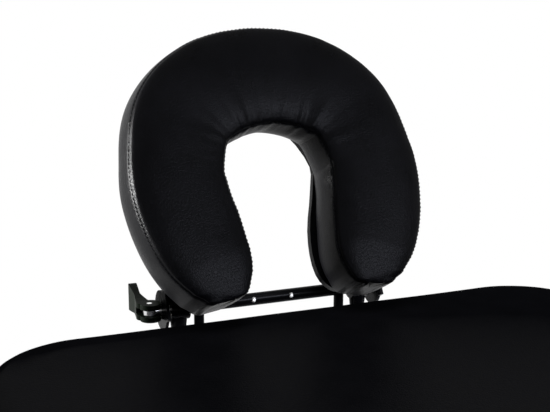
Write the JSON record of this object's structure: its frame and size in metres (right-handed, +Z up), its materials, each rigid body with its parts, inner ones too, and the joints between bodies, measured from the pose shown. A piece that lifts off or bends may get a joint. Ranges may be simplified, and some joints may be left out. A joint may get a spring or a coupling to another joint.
{
  "type": "folding massage table",
  "caption": "Folding massage table in two halves, with black padded top, telescoping folding legs and a horseshoe face cradle on a tilting and height-adjusting frame at the head end.",
  "frame": {"origin": "centre of the bounding box at floor level, under the table's middle", "axes": "+X across the table to its right as seen from the foot end, +Y along the table towards the face cradle, +Z up"},
  "size_m": [0.6025, 1.9984, 0.8445],
  "materials": {
    "top_cover": "satin",
    "cushion_cover": "satin",
    "board": "matte",
    "frame_alloy": "satin",
    "leg_alloy": "satin",
    "bracket_plastic": "matte",
    "zinc_steel": "satin",
    "bright_bolt": "gloss",
    "cradle_black": "gloss",
    "plate_panel": "satin",
    "lever_plastic": "satin",
    "webbing": "matte",
    "foot_rubber": "matte"
  },
  "bodies": {
    "head_frame": {"head_pad": "top_cover", "head_board": "board", "head_rail_left": "frame_alloy", "head_rail_right": "frame_alloy", "head_rail_end": "frame_alloy", "head_rail_seam": "frame_alloy", "head_leg_brackets": "bracket_plastic", "head_leg_bolts": "zinc_steel", "cradle_sockets": "bracket_plastic", "head_hinge_leaves": "zinc_steel", "hinge_pins": "zinc_steel", "head_handle": "webbing", "head_fixings": "zinc_steel"},
    "foot_frame": {"foot_pad": "top_cover", "foot_board": "board", "foot_rail_left": "frame_alloy", "foot_rail_right": "frame_alloy", "foot_rail_end": "frame_alloy", "foot_rail_seam": "frame_alloy", "foot_leg_brackets": "bracket_plastic", "foot_leg_bolts": "zinc_steel", "foot_hinge_leaves": "zinc_steel", "foot_handle": "webbing", "foot_fixings": "zinc_steel"},
    "head_legs": {"head_leg_left": "leg_alloy", "head_leg_right": "leg_alloy", "head_leg_bar": "leg_alloy"},
    "foot_legs": {"foot_leg_left": "leg_alloy", "foot_leg_right": "leg_alloy", "foot_leg_bar": "leg_alloy"},
    "head_stay_upper": {"head_stay_uppers": "zinc_steel"},
    "head_stay_lower": {"head_stay_lowers": "zinc_steel"},
    "foot_stay_upper": {"foot_stay_uppers": "zinc_steel"},
    "foot_stay_lower": {"foot_stay_lowers": "zinc_steel"},
    "head_left_extension": {"head_left_lower_leg": "leg_alloy", "head_left_foot": "foot_rubber"},
    "head_left_snap_button": {"head_left_button": "zinc_steel"},
    "head_right_extension": {"head_right_lower_leg": "leg_alloy", "head_right_foot": "foot_rubber"},
    "head_right_snap_button": {"head_right_button": "zinc_steel"},
    "foot_left_extension": {"foot_left_lower_leg": "leg_alloy", "foot_left_foot": "foot_rubber"},
    "foot_left_snap_button": {"foot_left_button": "zinc_steel"},
    "foot_right_extension": {"foot_right_lower_leg": "leg_alloy", "foot_right_foot": "foot_rubber"},
    "foot_right_snap_button": {"foot_right_button": "zinc_steel"},
    "left_latch": {"latch_hook_left": "zinc_steel"},
    "right_latch": {"latch_hook_right": "zinc_steel"},
    "cradle_base": {"cradle_rods": "cradle_black"},
    "cradle_lift_frame": {"cradle_arms": "cradle_black", "cradle_crossbar": "cradle_black", "tilt_bolt": "bright_bolt", "lift_bolt": "bright_bolt", "clamp_spacers": "bright_bolt"},
    "cradle_head": {"cradle_brackets": "cradle_black", "cradle_plate": "plate_panel", "plate_screws": "zinc_steel", "face_cushion": "cushion_cover"},
    "tilt_clamp": {"tilt_lever": "lever_plastic"},
    "lift_clamp": {"lift_lever": "lever_plastic"}
  },
  "joints": [
    {"name": "centre_fold", "type": "hinge", "parent": "head_frame", "child": "foot_frame", "pos_m": [0, -0.06812, 0.4477], "axis": [1, 0, 0], "range_deg": [0, 180]},
    {"name": "head_leg_fold", "type": "hinge", "parent": "head_frame", "child": "head_legs", "pos_m": [0, 0.79188, 0.496], "axis": [1, 0, 0], "range_deg": [-90, 0]},
    {"name": "head_stay_rail_pivot", "type": "hinge", "parent": "head_frame", "child": "head_stay_upper", "pos_m": [0, 0.35188, 0.496], "axis": [1, 0, 0], "range_deg": [0, 29.6]},
    {"name": "head_stay_leg_pivot", "type": "hinge", "parent": "head_legs", "child": "head_stay_lower", "pos_m": [0, 0.79188, 0.246], "axis": [1, 0, 0], "range_deg": [-60.4, 0]},
    {"name": "head_left_height", "type": "slide", "parent": "head_legs", "child": "head_left_extension", "axis": [0, 0, -1], "range_m": [0, 0.18]},
    {"name": "head_left_button_press", "type": "slide", "parent": "head_left_extension", "child": "head_left_snap_button", "axis": [0, -1, 0], "range_m": [0, 0.0052], "stiffness_N_per_m": 800, "springref_m": -0.004},
    {"name": "head_right_height", "type": "slide", "parent": "head_legs", "child": "head_right_extension", "axis": [0, 0, -1], "range_m": [0, 0.18]},
    {"name": "head_right_button_press", "type": "slide", "parent": "head_right_extension", "child": "head_right_snap_button", "axis": [0, -1, 0], "range_m": [0, 0.0052], "stiffness_N_per_m": 800, "springref_m": -0.004},
    {"name": "foot_leg_fold", "type": "hinge", "parent": "foot_frame", "child": "foot_legs", "pos_m": [0, -0.92812, 0.496], "axis": [1, 0, 0], "range_deg": [0, 90]},
    {"name": "foot_stay_rail_pivot", "type": "hinge", "parent": "foot_frame", "child": "foot_stay_upper", "pos_m": [0, -0.48812, 0.496], "axis": [1, 0, 0], "range_deg": [-29.6, 0]},
    {"name": "foot_stay_leg_pivot", "type": "hinge", "parent": "foot_legs", "child": "foot_stay_lower", "pos_m": [0, -0.92812, 0.246], "axis": [1, 0, 0], "range_deg": [0, 60.4]},
    {"name": "foot_left_height", "type": "slide", "parent": "foot_legs", "child": "foot_left_extension", "axis": [0, 0, -1], "range_m": [0, 0.18]},
    {"name": "foot_left_button_press", "type": "slide", "parent": "foot_left_extension", "child": "foot_left_snap_button", "axis": [0, 1, 0], "range_m": [0, 0.0052], "stiffness_N_per_m": 800, "springref_m": -0.004},
    {"name": "foot_right_height", "type": "slide", "parent": "foot_legs", "child": "foot_right_extension", "axis": [0, 0, -1], "range_m": [0, 0.18]},
    {"name": "foot_right_button_press", "type": "slide", "parent": "foot_right_extension", "child": "foot_right_snap_button", "axis": [0, 1, 0], "range_m": [0, 0.0052], "stiffness_N_per_m": 800, "springref_m": -0.004},
    {"name": "left_latch_swing", "type": "hinge", "parent": "head_frame", "child": "left_latch", "pos_m": [0, 0.67188, 0.48], "axis": [1, 0, 0], "range_deg": [0, 90]},
    {"name": "right_latch_swing", "type": "hinge", "parent": "head_frame", "child": "right_latch", "pos_m": [0, 0.67188, 0.48], "axis": [1, 0, 0], "range_deg": [0, 90]},
    {"name": "cradle_slide", "type": "slide", "parent": "head_frame", "child": "cradle_base", "axis": [0, 1, 0], "range_m": [0, 0.15]},
    {"name": "cradle_lift", "type": "hinge", "parent": "cradle_base", "child": "cradle_lift_frame", "pos_m": [0, 0.90188, 0.485], "axis": [1, 0, 0], "range_deg": [-90, 0]},
    {"name": "cradle_tilt", "type": "hinge", "parent": "cradle_lift_frame", "child": "cradle_head", "pos_m": [0, 0.90188, 0.5815], "axis": [1, 0, 0], "range_deg": [-75, 5]},
    {"name": "tilt_lever_swing", "type": "hinge", "parent": "cradle_lift_frame", "child": "tilt_clamp", "pos_m": [-0.1247, 0.90188, 0.5815], "axis": [0, 0, 1], "range_deg": [0, 90]},
    {"name": "lift_lever_swing", "type": "hinge", "parent": "cradle_lift_frame", "child": "lift_clamp", "pos_m": [-0.1322, 0.90188, 0.485], "axis": [0, 0, 1], "range_deg": [0, 90]}
  ],
  "couplings": [
    {"joint": "head_leg_fold", "follows": "centre_fold", "ratio": -0.5},
    {"joint": "head_stay_rail_pivot", "follows": "centre_fold", "ratio": 0.16447},
    {"joint": "head_stay_leg_pivot", "follows": "centre_fold", "ratio": -0.33553},
    {"joint": "foot_leg_fold", "follows": "centre_fold", "ratio": 0.5},
    {"joint": "foot_stay_rail_pivot", "follows": "centre_fold", "ratio": -0.16447},
    {"joint": "foot_stay_leg_pivot", "follows": "centre_fold", "ratio": 0.33553}
  ]
}
